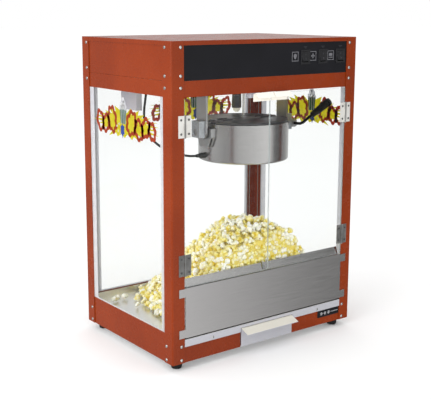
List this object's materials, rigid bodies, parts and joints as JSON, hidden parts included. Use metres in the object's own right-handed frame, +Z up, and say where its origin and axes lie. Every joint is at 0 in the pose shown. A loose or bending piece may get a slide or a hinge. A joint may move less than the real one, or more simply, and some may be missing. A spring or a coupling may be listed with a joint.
{
  "type": "tabletop popcorn machine",
  "caption": "Tabletop popcorn machine: glazed sheet-metal cabinet with hinged doors, a tilting kettle with stirrer and lids, rocker switches, a crumb drawer and a heap of popcorn.",
  "frame": {"origin": "middle of the footprint, on the surface that the feet stand on; the footprint counts the drawer's lip in front and the screw heads behind", "axes": "+Z up, +X to the right as seen from the front, the doors face -Y"},
  "size_m": [0.5764, 0.4272, 0.768],
  "materials": {
    "orange_paint": "smooth gloss powder coat",
    "black_panel": "satin black",
    "stainless": "brushed",
    "pan_steel": "spun, darkened by heat",
    "lid_steel": "satin grey",
    "bare_aluminium": "satin anodised",
    "cream_metal": "gloss cream",
    "bright_steel": "polished",
    "clear_pane": "clear",
    "white_trim": "gloss white",
    "grey_enclosure": "satin grey",
    "motor_casing": "satin grey",
    "shade_metal": "satin dark grey",
    "lamp_glass": "frosted",
    "black_plastic": "moulded black",
    "black_metal": "satin black",
    "black_rubber": "moulded rubber",
    "popcorn": "popped corn, creamy white and butter yellow"
  },
  "bodies": {
    "cabinet": {"front_posts": "orange_paint", "rear_posts": "orange_paint", "top_cover": "orange_paint", "control_fascia": "black_panel", "front_header": "orange_paint", "side_upper_panels": "orange_paint", "rear_upper_panel": "orange_paint", "side_headers": "orange_paint", "front_rail": "orange_paint", "side_rails": "orange_paint", "rear_rail": "orange_paint", "base_plate": "stainless", "feet": "black_rubber", "ceiling_deck": "bare_aluminium", "floor_tray": "stainless", "side_glasses": "clear_pane", "rear_glass": "clear_pane", "glass_trims": "white_trim", "front_apron": "stainless", "sill_flange": "stainless", "front_strip": "bare_aluminium", "label_plate": "black_panel", "drawer_guides": "stainless", "panel_screws": "bright_steel", "hinge_post_leaves": "stainless", "hinge_pins": "bright_steel", "door_magnets": "grey_enclosure", "stir_motor": "motor_casing", "lamp_shade": "shade_metal", "lamp_bulb": "lamp_glass", "outlet_box": "grey_enclosure", "kettle_hangers": "stainless", "pivot_blocks": "bare_aluminium", "switch_housings": "black_plastic", "mains_inlet": "black_plastic", "popcorn_heap": "popcorn", "kettle_cable": "black_rubber"},
    "kettle": {"kettle_shell": "stainless", "kettle_pan": "pan_steel", "heater_plate": "pan_steel", "kettle_ears": "stainless", "lid_bar": "stainless", "handle_rod": "black_metal", "handle_grip": "black_plastic", "kettle_gland": "black_plastic"},
    "stirrer_arm": {"stirrer": "bright_steel"},
    "spindle": {"drive_fork": "bright_steel"},
    "lid_front": {"front_lid": "lid_steel"},
    "lid_rear": {"rear_lid": "lid_steel"},
    "door_left": {"left_door_glass": "clear_pane", "left_door_handle": "cream_metal", "left_door_leaves": "stainless"},
    "door_right": {"right_door_glass": "clear_pane", "right_door_handle": "cream_metal", "right_door_leaves": "stainless"},
    "drawer": {"drawer_tray": "bare_aluminium", "drawer_front": "bare_aluminium"},
    "rocker_light": {"light_rocker": "black_plastic"},
    "rocker_motor": {"motor_rocker": "black_plastic"},
    "rocker_heat": {"heat_rocker": "black_plastic"}
  },
  "joints": [
    {"name": "left_door_hinge", "type": "hinge", "parent": "cabinet", "child": "door_left", "pos_m": [-0.251, -0.1911, 0.4], "axis": [0, 0, -1], "range_deg": [0, 110]},
    {"name": "right_door_hinge", "type": "hinge", "parent": "cabinet", "child": "door_right", "pos_m": [0.251, -0.1911, 0.4], "axis": [0, 0, 1], "range_deg": [0, 110]},
    {"name": "drawer_slide", "type": "slide", "parent": "cabinet", "child": "drawer", "axis": [0, -1, 0], "range_m": [0, 0.28]},
    {"name": "kettle_tilt", "type": "hinge", "parent": "cabinet", "child": "kettle", "pos_m": [0.07, 0, 0.532], "axis": [1, 0, 0], "range_deg": [0, 95], "deforming": ["kettle_cable"]},
    {"name": "front_lid_hinge", "type": "hinge", "parent": "kettle", "child": "lid_front", "pos_m": [0.07, -0.012, 0.557], "axis": [-1, 0, 0], "range_deg": [0, 80]},
    {"name": "rear_lid_hinge", "type": "hinge", "parent": "kettle", "child": "lid_rear", "pos_m": [0.07, 0.012, 0.557], "axis": [1, 0, 0], "range_deg": [0, 80]},
    {"name": "stirrer_spin", "type": "hinge", "parent": "kettle", "child": "stirrer_arm", "pos_m": [0.07, 0, 0.5], "axis": [0, 0, 1], "continuous": true},
    {"name": "motor_spin", "type": "hinge", "parent": "cabinet", "child": "spindle", "pos_m": [0.07, 0, 0.67], "axis": [0, 0, 1], "continuous": true},
    {"name": "light_switch", "type": "hinge", "parent": "cabinet", "child": "rocker_light", "pos_m": [0.1115, -0.1826, 0.722], "axis": [1, 0, 0], "range_deg": [0, 14]},
    {"name": "motor_switch", "type": "hinge", "parent": "cabinet", "child": "rocker_motor", "pos_m": [0.17, -0.1826, 0.722], "axis": [1, 0, 0], "range_deg": [0, 14]},
    {"name": "heat_switch", "type": "hinge", "parent": "cabinet", "child": "rocker_heat", "pos_m": [0.23, -0.1826, 0.722], "axis": [1, 0, 0], "range_deg": [0, 14]}
  ],
  "couplings": [
    {"joint": "motor_spin", "follows": "stirrer_spin", "ratio": 1}
  ]
}
